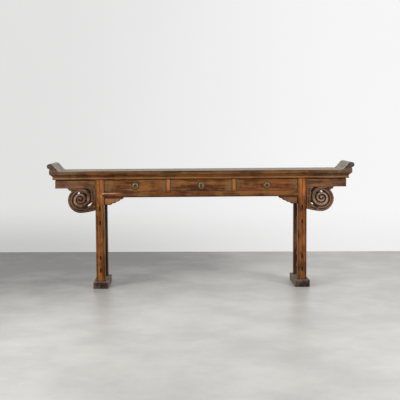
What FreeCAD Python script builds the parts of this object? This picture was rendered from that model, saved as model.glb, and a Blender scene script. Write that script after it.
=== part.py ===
import FreeCAD, Part
import math
import os

# Altar table with recessed legs, upturned end flanges, openwork scroll brackets and three drawers.
# Millimetres. X runs along the table, Y from the front (-Y) to the back, Z up.
# The origin lies on the floor under the middle of the top.

os.makedirs("parts", exist_ok=True)
V = FreeCAD.Vector

# Whole table
table_length = 2364.0
table_depth = 380.0
surface_height = 912.0
cut_over = 25.0

# Moulded edge of the top
top_thickness = 66.0
frame_width = 80.0
fascia_height = 25.0
fascia_crown = 1.5
fascia_step = 3.0
cove_recess = 25.0
cove_bulge_share = 0.10
bead_height = 19.0
bead_crown = 4.0

# Floating board of the top and its battens
panel_thickness = 20.0
tongue_thickness = 8.0
tongue_depth = 8.0
tongue_play = 2.0
tongue_drop = 6.0
batten_count = 5
batten_width = 36.0
batten_gap = 6.0
batten_tenon = 12.0

# Upturned flanges at the ends
flange_rise = 58.0
tip_overhang = 16.0
tip_radius = 19.5
flange_crest = 45.0
crest_drop = 9.0
crest_bulge_share = 0.20
slope_run = 91.0
slope_bulge_share = 0.06
nick_depth = 4.0
nick_height = 8.0

# Legs and the feet that they stand on
leg_inset = 398.0
leg_width = 69.0
leg_depth = 56.0
leg_setback = 30.0
leg_round = 8.0
leg_tenon_width = 36.0
leg_tenon_depth = 26.0
leg_tenon_length = 24.0
shoe_width = 114.0
shoe_length = 372.0
shoe_height = 53.0
shoe_round = 4.0

# Rails and boards between the two legs of an end
upper_rail_drops = (84.0, 196.0)
lower_rail_rises = (185.0, 87.0)
end_rail_width = 30.0
end_rail_height = 38.0
end_tenon_width = 12.0
end_tenon_height = 32.0
end_tenon_proud = 1.5
end_board_thickness = 10.0
end_board_tongue = 6.0

# Drawer case
case_height = 139.0
rail_height = 45.0
rail_depth = 40.0
rail_round = 7.0
rail_tenon_length = 36.0
rail_tenon_height = 22.0
rail_tenon_depth = 14.0
rail_point_length = 19.0
rail_point_depth = 14.0
stile_width = 28.0
stile_depth = 30.0
stile_tenon = 12.0
stile_tenon_width = 12.0
stile_round = 2.0
back_board_thickness = 14.0
back_board_setback = 14.0
case_end_thickness = 15.0
case_end_tongue = 5.0
partition_inset = 2.0
runner_thickness = 12.0
runner_lip = 20.0
runner_tenon = 8.0
guide_height = 34.0

# Drawers
drawer_count = 3
front_gap = 1.5
front_setback = 2.5
front_thickness = 20.0
front_top_gap = 4.5
front_bottom_gap = 1.0
front_round = 1.5
slide_gap = 0.3
side_thickness = 10.0
side_top_drop = 8.0
side_housing = 6.0
drawer_back_gap = 6.0
drawer_back_thickness = 10.0
bottom_thickness = 6.0
bottom_rise = 6.0
bottom_tongue = 4.0

# Brass plates, split pins and rings
plate_radius = 30.0
plate_thickness = 1.6
plate_rim = 3.0
plate_rim_radius = 1.6
plate_height_share = 0.465
ring_wire = 6.0
ring_radius = 18.0
link_half_width = 14.0
link_straight = 16.0
eye_wire = 3.6
eye_play = 0.5
pin_radius = 1.8
pin_hole_play = 0.2
pin_leg_length = 14.0

# Aprons beyond the legs
apron_height = 59.5
apron_top_gap = 7.0
apron_thickness = 20.0
apron_setback = 3.0
apron_tongue = 10.0
apron_inset = 57.0
apron_round = 2.0

# Scroll brackets under the aprons
scroll_reach = 212.0
scroll_height = 192.0
scroll_thickness = 26.0
scroll_setback = 5.0
scroll_foot_rise = 20.0
scroll_foot_bulge_share = -0.05
scroll_low_share = 0.53
scroll_cusp_reach = 219.0
scroll_cusp_shares = ((0.905, 0.095), (0.965, 0.075))
scroll_cusp_bulge_share = 0.28
scroll_top_angle = 45.0
groove_width = 8.0
groove_depth = 6.0
groove_start_share = 0.535
groove_start_rise = 4.0
groove_radius_shares = (0.403, 0.419, 0.301, 0.323, 0.226, 0.237, 0.161, 0.150, 0.097, 0.086, 0.065)
slot_width = 13.0
slot_place_shares = ((3.72, 4.80, 0.0), (1.25, 1.78, 0.05))
back_slot_place_shares = ((3.24, 3.46, -0.01),)
pocket_width = 18.0
pocket_depth = 10.0
pocket_place_shares = (0.30, 0.86, 0.02)

# Stepped brackets inside the legs
spandrel_length = 150.0
spandrel_height = 56.5
spandrel_thickness = 14.0
spandrel_setback = 9.0
spandrel_foot_share = 0.19
spandrel_step_shares = ((0.42, 0.84), (0.62, 0.63), (0.82, 0.35), (1.00, 0.09))
spandrel_riser_share = 0.07
spandrel_lobe_bulge_share = -0.28

# Heights and places that follow
quarter_angle = 90
half_length = table_length / 2
half_depth = table_depth / 2
underside = surface_height - top_thickness
fascia_foot = surface_height - fascia_height
panel_underside = surface_height - panel_thickness
corner_x = half_length - tip_overhang
panel_half_length = corner_x - frame_width
panel_half_depth = half_depth - frame_width
flange_top = surface_height + flange_rise
leg_center = half_length - leg_inset
leg_front = half_depth - leg_setback
leg_back = leg_front - leg_depth
leg_inner = leg_center - leg_width / 2
leg_outer = leg_center + leg_width / 2
case_bottom = underside - case_height
rail_top = case_bottom + rail_height
rail_back = leg_front - rail_depth
stile_center = (leg_inner + stile_width / 2) / drawer_count
stile_back = leg_front - stile_depth
back_board_front = leg_front - back_board_setback - back_board_thickness
case_end_inner = leg_center - case_end_thickness / 2
scroll_top = underside - apron_top_gap - apron_height
scroll_bottom = scroll_top - scroll_height
quarter_bulge = math.tan(math.radians(quarter_angle) / 4)
end_rail_heights = [case_bottom - drop for drop in upper_rail_drops]
end_rail_heights += [shoe_height + rise for rise in lower_rail_rises]


def in_xz(a, b):
    return V(a, 0, b)


def in_yz(a, b):
    return V(0, a, b)


def in_xy(a, b):
    return V(a, b, 0)


def outline_face(points, place):
    """Face inside a closed outline of (a, b, bulge) points.

    The bulge belongs to the stretch that follows its point: 0 is straight, a positive one bends
    to the left of the way walked, and 1 is a half circle.
    """
    edges = []
    for (a0, b0, bulge), (a1, b1, _) in zip(points, points[1:] + points[:1]):
        start = place(a0, b0)
        end = place(a1, b1)
        if bulge:
            middle = place((a0 + a1 - bulge * (b1 - b0)) / 2, (b0 + b1 + bulge * (a1 - a0)) / 2)
            edges.append(Part.Arc(start, middle, end).toShape())
        else:
            edges.append(Part.LineSegment(start, end).toShape())
    return Part.Face(Part.Wire(edges))


def board(x0, x1, y0, y1, z0, z1):
    return Part.makeBox(x1 - x0, y1 - y0, z1 - z0, V(x0, y0, z0))


def along_x(points, x0, x1):
    face = outline_face(points, in_yz)
    face.translate(V(x0, 0, 0))
    return face.extrude(V(x1 - x0, 0, 0))


def along_y(points, y0, y1):
    face = outline_face(points, in_xz)
    face.translate(V(0, y0, 0))
    return face.extrude(V(0, y1 - y0, 0))


def along_z(points, z0, z1):
    face = outline_face([(a, b, 0) for a, b in points], in_xy)
    face.translate(V(0, 0, z0))
    return face.extrude(V(0, 0, z1 - z0))


def to_right(shape):
    return shape.mirror(V(0, 0, 0), V(1, 0, 0))


def to_back(shape):
    return shape.mirror(V(0, 0, 0), V(0, 1, 0))


def four_ways(front_left):
    """The same piece at the four corners, keyed by its place."""
    front_right = to_right(front_left)
    return {
        "front_left": front_left,
        "front_right": front_right,
        "back_left": to_back(front_left),
        "back_right": to_back(front_right),
    }


def edges_along(shape, axis, keep):
    """Straight edges parallel to an axis whose middle passes the test."""
    found = []
    for edge in shape.Edges:
        if edge.Curve.TypeId != "Part::GeomLine":
            continue
        run = edge.Vertexes[-1].Point.sub(edge.Vertexes[0].Point)
        if abs(abs(run.dot(axis)) - run.Length) < 1e-6 * run.Length and keep(edge.CenterOfMass):
            found.append(edge)
    return found


def cut_all(shape, tools):
    for tool in tools:
        shape = shape.cut(tool)
    return shape


def save(name, *solids):
    pieces = []
    for shape in solids:
        pieces += shape.Solids
    whole = pieces[0] if len(pieces) == 1 else Part.makeCompound(pieces)
    whole.exportStep("parts/" + name + ".step")


# Top

def edge_moulding(inset, top_z):
    """Moulded edge from its upper corner down to the underside, measured inwards."""
    crown_bulge = -2 * fascia_crown / (top_z - fascia_foot)
    face = inset + fascia_crown
    return [
        (face, top_z, crown_bulge),
        (face, fascia_foot, 0),
        (face + fascia_step, fascia_foot, cove_bulge_share),
        (inset + cove_recess, underside + bead_height, -2 * bead_crown / bead_height),
        (inset + cove_recess, underside, 0),
    ]


def front_half_form(top_z):
    """Front half of the top's cross-section, run over the whole length."""
    upper = [(fascia_crown, top_z, 0)] if top_z > surface_height else []
    points = upper + edge_moulding(0, surface_height) + [(half_depth, underside, 0), (half_depth, top_z, 0)]
    return along_x([(a - half_depth, b, bulge) for a, b, bulge in points], -half_length, half_length)


def flange_outline():
    """Side view of the left end member, measured inwards from the tip."""
    nick_z = flange_top - 2 * tip_radius
    inner = tip_overhang + frame_width
    return [
        (inner, underside, 0),
        (inner, surface_height, 0),
        (slope_run, surface_height, slope_bulge_share),
        (flange_crest, flange_top - crest_drop, -crest_bulge_share),
        (tip_radius, flange_top, -1),
        (tip_radius, nick_z, 0),
        (tip_overhang + nick_depth, nick_z - nick_depth, 0),
    ] + edge_moulding(tip_overhang, nick_z - nick_height)


def panel_groove():
    """Space that the board's tongue floats in, all round."""
    reach = tongue_depth + tongue_play
    return board(-panel_half_length - reach, panel_half_length + reach,
                 -panel_half_depth - reach, panel_half_depth + reach,
                 surface_height - tongue_drop - tongue_thickness, surface_height - tongue_drop)


def top_battens():
    spacing = 2 * panel_half_length / batten_count
    reach = panel_half_depth + batten_tenon
    battens = []
    for index in range(batten_count):
        center = -panel_half_length + spacing * (index + 0.5)
        battens.append(board(center - batten_width / 2, center + batten_width / 2, -reach, reach,
                             underside + batten_gap, panel_underside))
    return battens


def mitred_rail(battens, tenons):
    """Front rail of the top, mitred against the end members."""
    plan = [
        (-corner_x - cut_over, -half_depth - cut_over),
        (corner_x + cut_over, -half_depth - cut_over),
        (panel_half_length, -panel_half_depth),
        (-panel_half_length, -panel_half_depth),
    ]
    rail = front_half_form(surface_height).common(along_z(plan, underside, surface_height))
    return cut_all(rail, [panel_groove()] + battens + tenons)


def flange_left():
    """Left end member: mitred frame, upward slope and rolled tip in one piece."""
    plan = [
        (-half_length - cut_over, -half_depth - cut_over),
        (-corner_x - cut_over, -half_depth - cut_over),
        (-panel_half_length, -panel_half_depth),
        (-panel_half_length, panel_half_depth),
        (-corner_x - cut_over, half_depth + cut_over),
        (-half_length - cut_over, half_depth + cut_over),
    ]
    side = [(a - half_length, b, bulge) for a, b, bulge in flange_outline()]
    front = front_half_form(flange_top)
    form = along_y(side, -half_depth, half_depth).common(front.fuse(to_back(front)).removeSplitter())
    above = board(-half_length, -corner_x + frame_width, -half_depth, half_depth, surface_height, flange_top)
    frame = form.common(along_z(plan, underside, surface_height))
    return frame.fuse(form.common(above)).removeSplitter().cut(panel_groove())


def top_panel():
    """Board with a tongue all round, free to move in the frame's grooves."""
    body = board(-panel_half_length, panel_half_length, -panel_half_depth, panel_half_depth,
                 panel_underside, surface_height)
    tongue = board(-panel_half_length - tongue_depth, panel_half_length + tongue_depth,
                   -panel_half_depth - tongue_depth, panel_half_depth + tongue_depth,
                   surface_height - tongue_drop - tongue_thickness, surface_height - tongue_drop)
    return body.fuse(tongue).removeSplitter()


# Leg frames

def leg_tenons(x):
    """Tenons of a left front leg, into the top's rail above and the foot below."""
    y = -(leg_front + leg_back) / 2
    x0 = x - leg_tenon_width / 2
    x1 = x + leg_tenon_width / 2
    y0 = y - leg_tenon_depth / 2
    y1 = y + leg_tenon_depth / 2
    upper_y0 = -leg_front + (leg_front - panel_half_depth) / 4
    upper_y1 = upper_y0 + (leg_front - panel_half_depth) / 2
    upper = board(x0, x1, upper_y0, upper_y1, underside, underside + leg_tenon_length)
    lower = board(x0, x1, y0, y1, shoe_height - leg_tenon_length, shoe_height)
    return upper, lower


def leg_front_left(inserts):
    post = board(-leg_outer, -leg_inner, -leg_front, -leg_back, shoe_height, underside)
    post = post.makeFillet(leg_round, edges_along(post, V(0, 0, 1), lambda point: True))
    for tenon in leg_tenons(-leg_center):
        post = post.fuse(tenon)
    return cut_all(post.removeSplitter(), inserts)


def shoe_left():
    foot = board(-leg_center - shoe_width / 2, -leg_center + shoe_width / 2,
                 -shoe_length / 2, shoe_length / 2, 0, shoe_height)
    upper = edges_along(foot, V(1, 0, 0), lambda point: point.z > shoe_height / 2)
    upper += edges_along(foot, V(0, 1, 0), lambda point: point.z > shoe_height / 2)
    upright = edges_along(foot, V(0, 0, 1), lambda point: True)
    foot = foot.makeFillet(shoe_round, upper + upright)
    lower = leg_tenons(-leg_center)[1]
    return cut_all(foot, [lower, to_back(lower)])


def end_rail(z):
    """Rail from leg to leg, whose through tenons stand a little proud."""
    x = -leg_center
    rail = board(x - end_rail_width / 2, x + end_rail_width / 2, -leg_back, leg_back,
                 z - end_rail_height / 2, z + end_rail_height / 2)
    reach = leg_front + end_tenon_proud
    tenon = board(x - end_tenon_width / 2, x + end_tenon_width / 2, -reach, reach,
                  z - end_tenon_height / 2, z + end_tenon_height / 2)
    return rail.fuse(tenon).removeSplitter()


def end_board(upper, lower):
    """Thin board housed in two rails and both legs."""
    half = leg_back + end_board_tongue
    return board(-leg_center - end_board_thickness / 2, -leg_center + end_board_thickness / 2, -half, half,
                 lower + end_rail_height / 2 - end_board_tongue,
                 upper - end_rail_height / 2 + end_board_tongue)


# Drawer case

def rail_points():
    """Cross-section of a long rail with its softly rounded face, front one, as (y, z, bulge)."""
    return [
        (-leg_front + rail_round / 4, rail_top, -0.30),
        (-leg_front + rail_round, case_bottom, 0),
        (-rail_back, case_bottom, 0),
        (-rail_back, rail_top, 0),
    ]


def rail_points_at(x_side):
    """Pointed shoulder of the rail on the face of a leg, as a wedge in plan of the face."""
    root = leg_inner * x_side
    tip = (leg_inner + rail_point_length) * x_side
    points = [(root, case_bottom, 0), (tip, (case_bottom + rail_top) / 2, 0), (root, rail_top, 0)]
    if x_side < 0:
        points.reverse()
    return along_y(points, -leg_front, -leg_front + rail_point_depth)


def lower_rail_front():
    reach = leg_inner + rail_point_length
    form = along_x(rail_points(), -reach, reach)
    span = board(-leg_inner, leg_inner, -leg_front, -rail_back, case_bottom, rail_top)
    for side in (-1, 1):
        span = span.fuse(rail_points_at(side))
    rail = form.common(span)
    middle_y = -(leg_front + leg_back) / 2
    middle_z = (case_bottom + rail_top) / 2
    tenon_reach = leg_inner + rail_tenon_length
    tenon = board(-tenon_reach, tenon_reach, middle_y, middle_y + rail_tenon_depth,
                  middle_z - rail_tenon_height / 2, middle_z + rail_tenon_height / 2)
    return rail.fuse(tenon).removeSplitter()


def stile_left(tenon_only=False):
    """Upright between two drawers, tenoned into the rail below and the top above."""
    x = -stile_center
    middle_y = -(leg_front + stile_back) / 2
    tenon = board(x - stile_tenon_width / 2, x + stile_tenon_width / 2,
                  middle_y - stile_tenon_width / 2, middle_y + stile_tenon_width / 2,
                  rail_top - stile_tenon, underside + stile_tenon)
    if tenon_only:
        return tenon
    post = board(x - stile_width / 2, x + stile_width / 2, -leg_front, -stile_back, rail_top, underside)
    front = edges_along(post, V(0, 0, 1), lambda point: point.y < -(leg_front + stile_back) / 2)
    post = post.makeFillet(stile_round, front)
    return post.fuse(tenon).removeSplitter()


def back_board():
    return board(-leg_inner, leg_inner, back_board_front, back_board_front + back_board_thickness,
                 rail_top, underside)


def case_end_left():
    """Board from leg to leg that closes the case at its end."""
    half = leg_back + case_end_tongue
    return board(-leg_center - case_end_thickness / 2, -leg_center + case_end_thickness / 2, -half, half,
                 case_bottom, underside)


def partition_left():
    """Board behind a stile, between two drawers."""
    half = stile_width / 2 - partition_inset
    return board(-stile_center - half, -stile_center + half, -stile_back, back_board_front,
                 rail_top, underside)


def runners_left():
    """Outer runner and guide, and the runner under the partition, left of the middle."""
    z0 = rail_top - runner_thickness
    reach = rail_back + runner_tenon
    heel = board(-case_end_inner, -leg_inner, -leg_back, leg_back, z0, rail_top)
    lip = board(-leg_inner, -leg_inner + runner_lip, -reach, reach, z0, rail_top)
    half = stile_width / 2 + runner_lip
    inner = board(-stile_center - half, -stile_center + half, -reach, reach, z0, rail_top)
    guide = board(-case_end_inner, -leg_inner, -leg_back, leg_back, rail_top, rail_top + guide_height)
    return [heel.fuse(lip).removeSplitter(), inner, guide]


# Aprons and brackets

def apron_front_left():
    """Board beyond the leg, with a rebate that leaves a shadow gap under the top."""
    x0 = -half_length + apron_inset
    y0 = -leg_front + apron_setback
    y1 = y0 + apron_thickness
    face = board(x0, -leg_outer, y0, y1, scroll_top, underside - apron_top_gap)
    lower = edges_along(face, V(1, 0, 0), lambda point: point.z < underside - apron_height
                        and point.y < (y0 + y1) / 2)
    upright = edges_along(face, V(0, 0, 1), lambda point: point.x < x0 + apron_round and point.y < y0 + apron_round)
    face = face.makeFillet(apron_round, lower + upright)
    tongue = board(x0 + apron_tongue, -leg_outer, y1 - apron_tongue, y1,
                   underside - apron_top_gap, underside)
    return face.fuse(tongue).removeSplitter()


def apron_end_left():
    """Short board across the end, between the front and the back apron."""
    x0 = -half_length + apron_inset
    half = leg_front - apron_setback - apron_thickness
    return board(x0, x0 + apron_thickness, -half, half, scroll_top, underside)


def unit(degrees):
    angle = math.radians(degrees)
    return math.cos(angle), math.sin(angle)


def spiral_turns():
    """Quarter turns of the groove from the apron to the eye, as (u, z, radius, start angle)."""
    radii = [share * scroll_height for share in groove_radius_shares]
    u = groove_start_share * scroll_reach
    z = scroll_top + groove_start_rise - radii[0]
    turns = []
    for index, radius in enumerate(radii):
        start = quarter_angle * (index + 1)
        turns.append((u, z, radius, start))
        following = radii[min(index + 1, len(radii) - 1)]
        along_u, along_w = unit(start + quarter_angle)
        u += (radius - following) * along_u
        z += (radius - following) * along_w
    return turns


def arc_band(u, z, radius, width, start, end, y0, y1):
    """Part of a ring in the side view, from one angle to another."""
    outer = radius + width / 2
    inner = radius - width / 2
    sweep = math.tan(math.radians(end - start) / 4)
    cu0, su0 = unit(start)
    cu1, su1 = unit(end)
    return along_y([
        (u + outer * cu0, z + outer * su0, -sweep),
        (u + outer * cu1, z + outer * su1, 0),
        (u + inner * cu1, z + inner * su1, sweep),
        (u + inner * cu0, z + inner * su0, 0),
    ], y0, y1)


def groove_pieces(first, last, outward_share, width, y0, y1):
    """Bands along the groove between two places, counted in quarter turns from its start."""
    pieces = []
    outward = outward_share * scroll_height
    for index, (u, z, radius, start) in enumerate(spiral_turns()):
        near = max(first - index, 0)
        far = min(last - index, 1)
        if near < far:
            pieces.append(arc_band(u, z, radius + outward, width, start + near * quarter_angle,
                                   start + far * quarter_angle, y0, y1))
    return pieces


def scroll_outline():
    """Silhouette of the bracket: u outwards from the leg, z up."""
    low_u = scroll_low_share * scroll_reach
    side_radius = scroll_reach - low_u
    side_z = scroll_bottom + side_radius
    top_radius = scroll_top - side_z
    top_u = scroll_reach - top_radius
    along_u, along_w = unit(scroll_top_angle)
    turn_bulge = math.tan(math.radians(scroll_top_angle) / 4)
    (first_u, first_w), (second_u, second_w) = scroll_cusp_shares
    return [
        (0, scroll_top, 0),
        (0, scroll_bottom + scroll_foot_rise, scroll_foot_bulge_share),
        (low_u, scroll_bottom, -quarter_bulge),
        (scroll_reach, side_z, -turn_bulge),
        (top_u + top_radius * along_u, side_z + top_radius * along_w, 0),
        (first_u * scroll_reach, scroll_top - first_w * scroll_height, -scroll_cusp_bulge_share),
        (second_u * scroll_reach, scroll_top - second_w * scroll_height, scroll_cusp_bulge_share),
        (scroll_cusp_reach, scroll_top, 0),
    ]


def scroll_front_right(slots):
    """Openwork spiral bracket outside the right front leg, with the given slots."""
    y0 = -leg_front + scroll_setback
    y1 = y0 + scroll_thickness
    shape = along_y(scroll_outline(), y0, y1)
    for face in (y0, y1):
        shape = cut_all(shape, groove_pieces(0, len(groove_radius_shares), 0, groove_width,
                                             face - groove_depth, face + groove_depth))
        shape = cut_all(shape, groove_pieces(*pocket_place_shares, pocket_width,
                                             face - pocket_depth, face + pocket_depth))
    for place_shares in slots:
        shape = cut_all(shape, groove_pieces(*place_shares, slot_width, y0, y1))
    shape = shape.removeSplitter()
    shape.translate(V(leg_outer, 0, 0))
    return shape


def spandrel_outline():
    """Stepped bracket inside a leg: v inwards from the leg, drop below the rail."""
    points = [
        (0, case_bottom, 0),
        (0, case_bottom - spandrel_height, 0),
        (spandrel_foot_share * spandrel_length, case_bottom - spandrel_height, spandrel_lobe_bulge_share),
    ]
    for share_v, share_w in spandrel_step_shares:
        v = share_v * spandrel_length
        z = case_bottom - share_w * spandrel_height
        points.append((v, z, 0))
        last = share_v == spandrel_step_shares[-1][0]
        rise = case_bottom if last else z + spandrel_riser_share * spandrel_height
        points.append((v, rise, 0 if last else spandrel_lobe_bulge_share))
    return points


def spandrel_front_left():
    y0 = -leg_front + spandrel_setback
    shape = along_y(spandrel_outline(), y0, y0 + spandrel_thickness)
    shape.translate(V(-leg_inner, 0, 0))
    return shape


# Drawers

def drawer_bay(place):
    """Clear width between the uprights of a drawer, as (left, right)."""
    inner = stile_center - stile_width / 2
    outer = stile_center + stile_width / 2
    return {"left": (-leg_inner, -outer), "middle": (-inner, inner), "right": (outer, leg_inner)}[place]


def pull_height():
    low = rail_top + front_bottom_gap
    high = underside - front_top_gap
    return low + plate_height_share * (high - low)


def eye_center(x, hang):
    """Middle of the pin's eye, which the ring turns about."""
    reach = ring_wire / 2 + eye_play + eye_wire
    y = -leg_front + front_setback - plate_thickness - plate_rim_radius / 2 - reach
    return V(x, y, pull_height() + hang)


def drawer_front(x0, x1, pin_hole, sides):
    z0 = rail_top + front_bottom_gap
    z1 = underside - front_top_gap
    y0 = -leg_front + front_setback
    front = board(x0, x1, y0, y0 + front_thickness, z0, z1)
    rim = edges_along(front, V(1, 0, 0), lambda point: point.y < y0 + front_round)
    rim += edges_along(front, V(0, 0, 1), lambda point: point.y < y0 + front_round)
    front = front.makeFillet(front_round, rim)
    return cut_all(front, [pin_hole] + sides)


def drawer_boards(x0, x1):
    """Sides, back and bottom of a drawer between two planes."""
    y0 = -leg_front + front_setback + front_thickness
    y1 = back_board_front - drawer_back_gap
    z0 = rail_top + slide_gap
    z1 = underside - front_top_gap - side_top_drop
    sides = [
        board(x0, x0 + side_thickness, y0 - side_housing, y1, z0, z1),
        board(x1 - side_thickness, x1, y0 - side_housing, y1, z0, z1),
    ]
    bottom_z = z0 + bottom_rise
    bottom = board(x0 + side_thickness - bottom_tongue, x1 - side_thickness + bottom_tongue,
                   y0 - bottom_tongue, y1 - drawer_back_thickness, bottom_z, bottom_z + bottom_thickness)
    back = board(x0 + side_thickness, x1 - side_thickness, y1 - drawer_back_thickness, y1, z0, z1)
    return sides, back, bottom


def plate(x):
    """Round backplate with a raised rim and a hole for the pin."""
    y = -leg_front + front_setback
    z = pull_height()
    disc = Part.makeCylinder(plate_radius, plate_thickness, V(x, y, z), V(0, -1, 0))
    rim = Part.makeTorus(plate_radius - plate_rim, plate_rim_radius, V(x, y - plate_thickness, z), V(0, 1, 0))
    front = board(x - 2 * plate_radius, x + 2 * plate_radius, y - 2 * plate_radius, y,
                  z - 2 * plate_radius, z + 2 * plate_radius)
    return disc.fuse(rim).common(front).removeSplitter()


def pin(center):
    """Split pin: an eye for the ring, a shank through the front and two bent legs behind it."""
    reach = ring_wire / 2 + eye_play + eye_wire
    eye = Part.makeTorus(reach - eye_wire / 2, eye_wire / 2, center, V(1, 0, 0))
    inside = -leg_front + front_setback + front_thickness
    start = center.y + reach - eye_wire / 2
    shank = Part.makeCylinder(pin_radius, inside + pin_radius - start,
                              V(center.x, start, center.z), V(0, 1, 0))
    legs = board(center.x - pin_radius, center.x + pin_radius, inside, inside + pin_radius,
                 center.z - pin_leg_length, center.z + pin_leg_length)
    return eye.fuse(shank).fuse(legs).removeSplitter()


def pin_hole(center):
    start = center.y
    return Part.makeCylinder(pin_radius + pin_hole_play, front_thickness + cut_over,
                             V(center.x, start, center.z), V(0, 1, 0))


def round_ring(center):
    ring = Part.makeTorus(ring_radius, ring_wire / 2, V(center.x, center.y, center.z - ring_radius), V(0, 1, 0))
    return ring


def long_link(center):
    """Oblong link: two half rings joined by straight bars."""
    wire = ring_wire / 2
    low = center.z - link_half_width - link_straight
    high = center.z - link_half_width
    link = Part.makeTorus(link_half_width, wire, V(center.x, center.y, high), V(0, 1, 0))
    below = board(center.x - cut_over, center.x + cut_over, center.y - cut_over, center.y + cut_over,
                  high - 2 * cut_over, high)
    upper_arch = link.cut(below)
    lower_arch = upper_arch.mirror(V(0, 0, (low + high) / 2), V(0, 0, 1))
    shape = upper_arch.fuse(lower_arch)
    for side in (-link_half_width, link_half_width):
        shape = shape.fuse(Part.makeCylinder(wire, high - low, V(center.x + side, center.y, low), V(0, 0, 1)))
    return shape.removeSplitter()


def build_drawer(place):
    left, right = drawer_bay(place)
    x0 = left + front_gap
    x1 = right - front_gap
    x = (left + right) / 2
    hang = (link_half_width + link_straight / 2) if place == "middle" else ring_radius
    center = eye_center(x, hang)
    hole = pin_hole(center)
    sides, back, bottom = drawer_boards(x0, x1)
    front = drawer_front(x0, x1, hole, sides + [bottom])
    sides = [side.cut(bottom) for side in sides]
    name = "drawer_" + place
    save(name + "_front", front)
    save(name + "_sides", *sides)
    save(name + "_back", back.cut(bottom))
    save(name + "_bottom", bottom)
    save(name + "_plate", plate(x).cut(hole))
    save(name + "_pin", pin(center))
    save(name + "_ring", long_link(center) if place == "middle" else round_ring(center))


# Whole table

def build_top():
    battens = top_battens()
    tenon = leg_tenons(-leg_center)[0]
    stile = stile_left(tenon_only=True)
    tenons = [tenon, to_right(tenon), stile, to_right(stile)]
    front = mitred_rail(battens, tenons)
    back = mitred_rail(battens, tenons[:2])
    left = flange_left()
    save("top_rail_front", front)
    save("top_rail_back", to_back(back))
    save("flange_left", left)
    save("flange_right", to_right(left))
    save("top_panel", top_panel())
    save("top_battens", *battens)


def build_ends():
    rails = [end_rail(z) for z in end_rail_heights]
    boards = [
        end_board(end_rail_heights[0], end_rail_heights[1]),
        end_board(end_rail_heights[2], end_rail_heights[3]),
    ]
    rails = [cut_all(rail, boards) for rail in rails]
    long_rail = lower_rail_front()
    points = [rail_points_at(-1)]
    leg = leg_front_left(rails + boards + [long_rail, case_end_left()] + points)
    for place, shape in four_ways(leg).items():
        save("leg_" + place, shape)
    shoe = shoe_left()
    save("shoe_left", shoe)
    save("shoe_right", to_right(shoe))
    save("end_rails_left", *rails)
    save("end_rails_right", *[to_right(rail) for rail in rails])
    save("end_panels_left", *boards)
    save("end_panels_right", *[to_right(shape) for shape in boards])


def build_case():
    stile = stile_left()
    runners = runners_left()
    right_runners = [to_right(shape) for shape in runners]
    rail = cut_all(lower_rail_front(), runners + right_runners)
    save("lower_rail_front", cut_all(rail, [stile, to_right(stile)]))
    save("lower_rail_back", to_back(rail))
    save("back_board", back_board())
    save("stile_left", stile)
    save("stile_right", to_right(stile))
    ends = case_end_left()
    save("case_ends", ends, to_right(ends))
    partition = partition_left()
    save("case_partitions", partition, to_right(partition))
    save("drawer_runners", *(runners + right_runners))


def build_brackets():
    for place, shape in four_ways(apron_front_left()).items():
        save("apron_" + place, shape)
    end = apron_end_left()
    save("apron_end_left", end)
    save("apron_end_right", to_right(end))
    in_front = four_ways(to_right(scroll_front_right(slot_place_shares)))
    behind = four_ways(to_right(scroll_front_right(slot_place_shares + back_slot_place_shares)))
    for place in in_front:
        save("scroll_" + place, behind[place] if place.startswith("back") else in_front[place])
    for place, shape in four_ways(spandrel_front_left()).items():
        save("spandrel_" + place, shape)


build_top()
build_ends()
build_case()
build_brackets()
for place in ("left", "middle", "right"):
    build_drawer(place)
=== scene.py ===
import cmath
import itertools
import math

import bpy
import numpy as np
from bpy.props import FloatProperty, FloatVectorProperty, PointerProperty
from mathutils import Euler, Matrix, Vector


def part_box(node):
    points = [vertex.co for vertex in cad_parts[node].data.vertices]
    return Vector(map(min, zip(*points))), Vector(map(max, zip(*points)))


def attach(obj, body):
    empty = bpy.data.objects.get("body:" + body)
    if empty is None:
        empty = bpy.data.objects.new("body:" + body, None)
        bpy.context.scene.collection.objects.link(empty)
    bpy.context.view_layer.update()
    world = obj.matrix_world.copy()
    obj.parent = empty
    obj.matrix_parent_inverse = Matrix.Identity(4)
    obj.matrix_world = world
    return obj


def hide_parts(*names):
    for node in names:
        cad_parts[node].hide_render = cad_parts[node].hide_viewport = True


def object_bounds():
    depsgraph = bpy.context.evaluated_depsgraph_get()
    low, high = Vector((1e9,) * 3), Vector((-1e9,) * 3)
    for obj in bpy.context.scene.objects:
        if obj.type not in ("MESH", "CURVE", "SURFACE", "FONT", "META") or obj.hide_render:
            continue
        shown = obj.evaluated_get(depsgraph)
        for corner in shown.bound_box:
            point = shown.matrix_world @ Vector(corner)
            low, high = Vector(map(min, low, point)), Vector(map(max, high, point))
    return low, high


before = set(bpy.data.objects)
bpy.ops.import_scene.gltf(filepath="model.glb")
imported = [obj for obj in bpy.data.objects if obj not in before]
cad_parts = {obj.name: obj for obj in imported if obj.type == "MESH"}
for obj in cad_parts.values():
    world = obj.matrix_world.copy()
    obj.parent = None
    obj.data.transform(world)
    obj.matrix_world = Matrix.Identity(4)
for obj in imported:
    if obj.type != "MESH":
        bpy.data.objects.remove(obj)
cad_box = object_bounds()

bl_info = {
    "name": "Altar table",
    "version": (1, 0, 0),
    "blender": (4, 5, 0),
    "location": "3D View > Sidebar > Altar table",
    "description": "Dresses a long altar table with everted ends: old wood, carved brackets, brass pulls",
    "category": "Object",
}

X, Y, Z = 0, 1, 2
DRAWERS = ("left", "middle", "right")
SIDES = ("left", "right")
ENDS = ("front", "back")


# Colours and lengths

def seen(red, green, blue):
    """Linear values of a colour given as it looks on a screen, 0 to 255."""
    shares = [value / 255 for value in (red, green, blue)]
    return tuple(((share + 0.055) / 1.055) ** 2.4 if share > 0.04045 else share / 12.92 for share in shares)


def colour(name, description, red, green, blue):
    return FloatVectorProperty(name=name, description=description, subtype="COLOR", size=3,
                               min=0, max=1, default=seen(red, green, blue))


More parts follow.
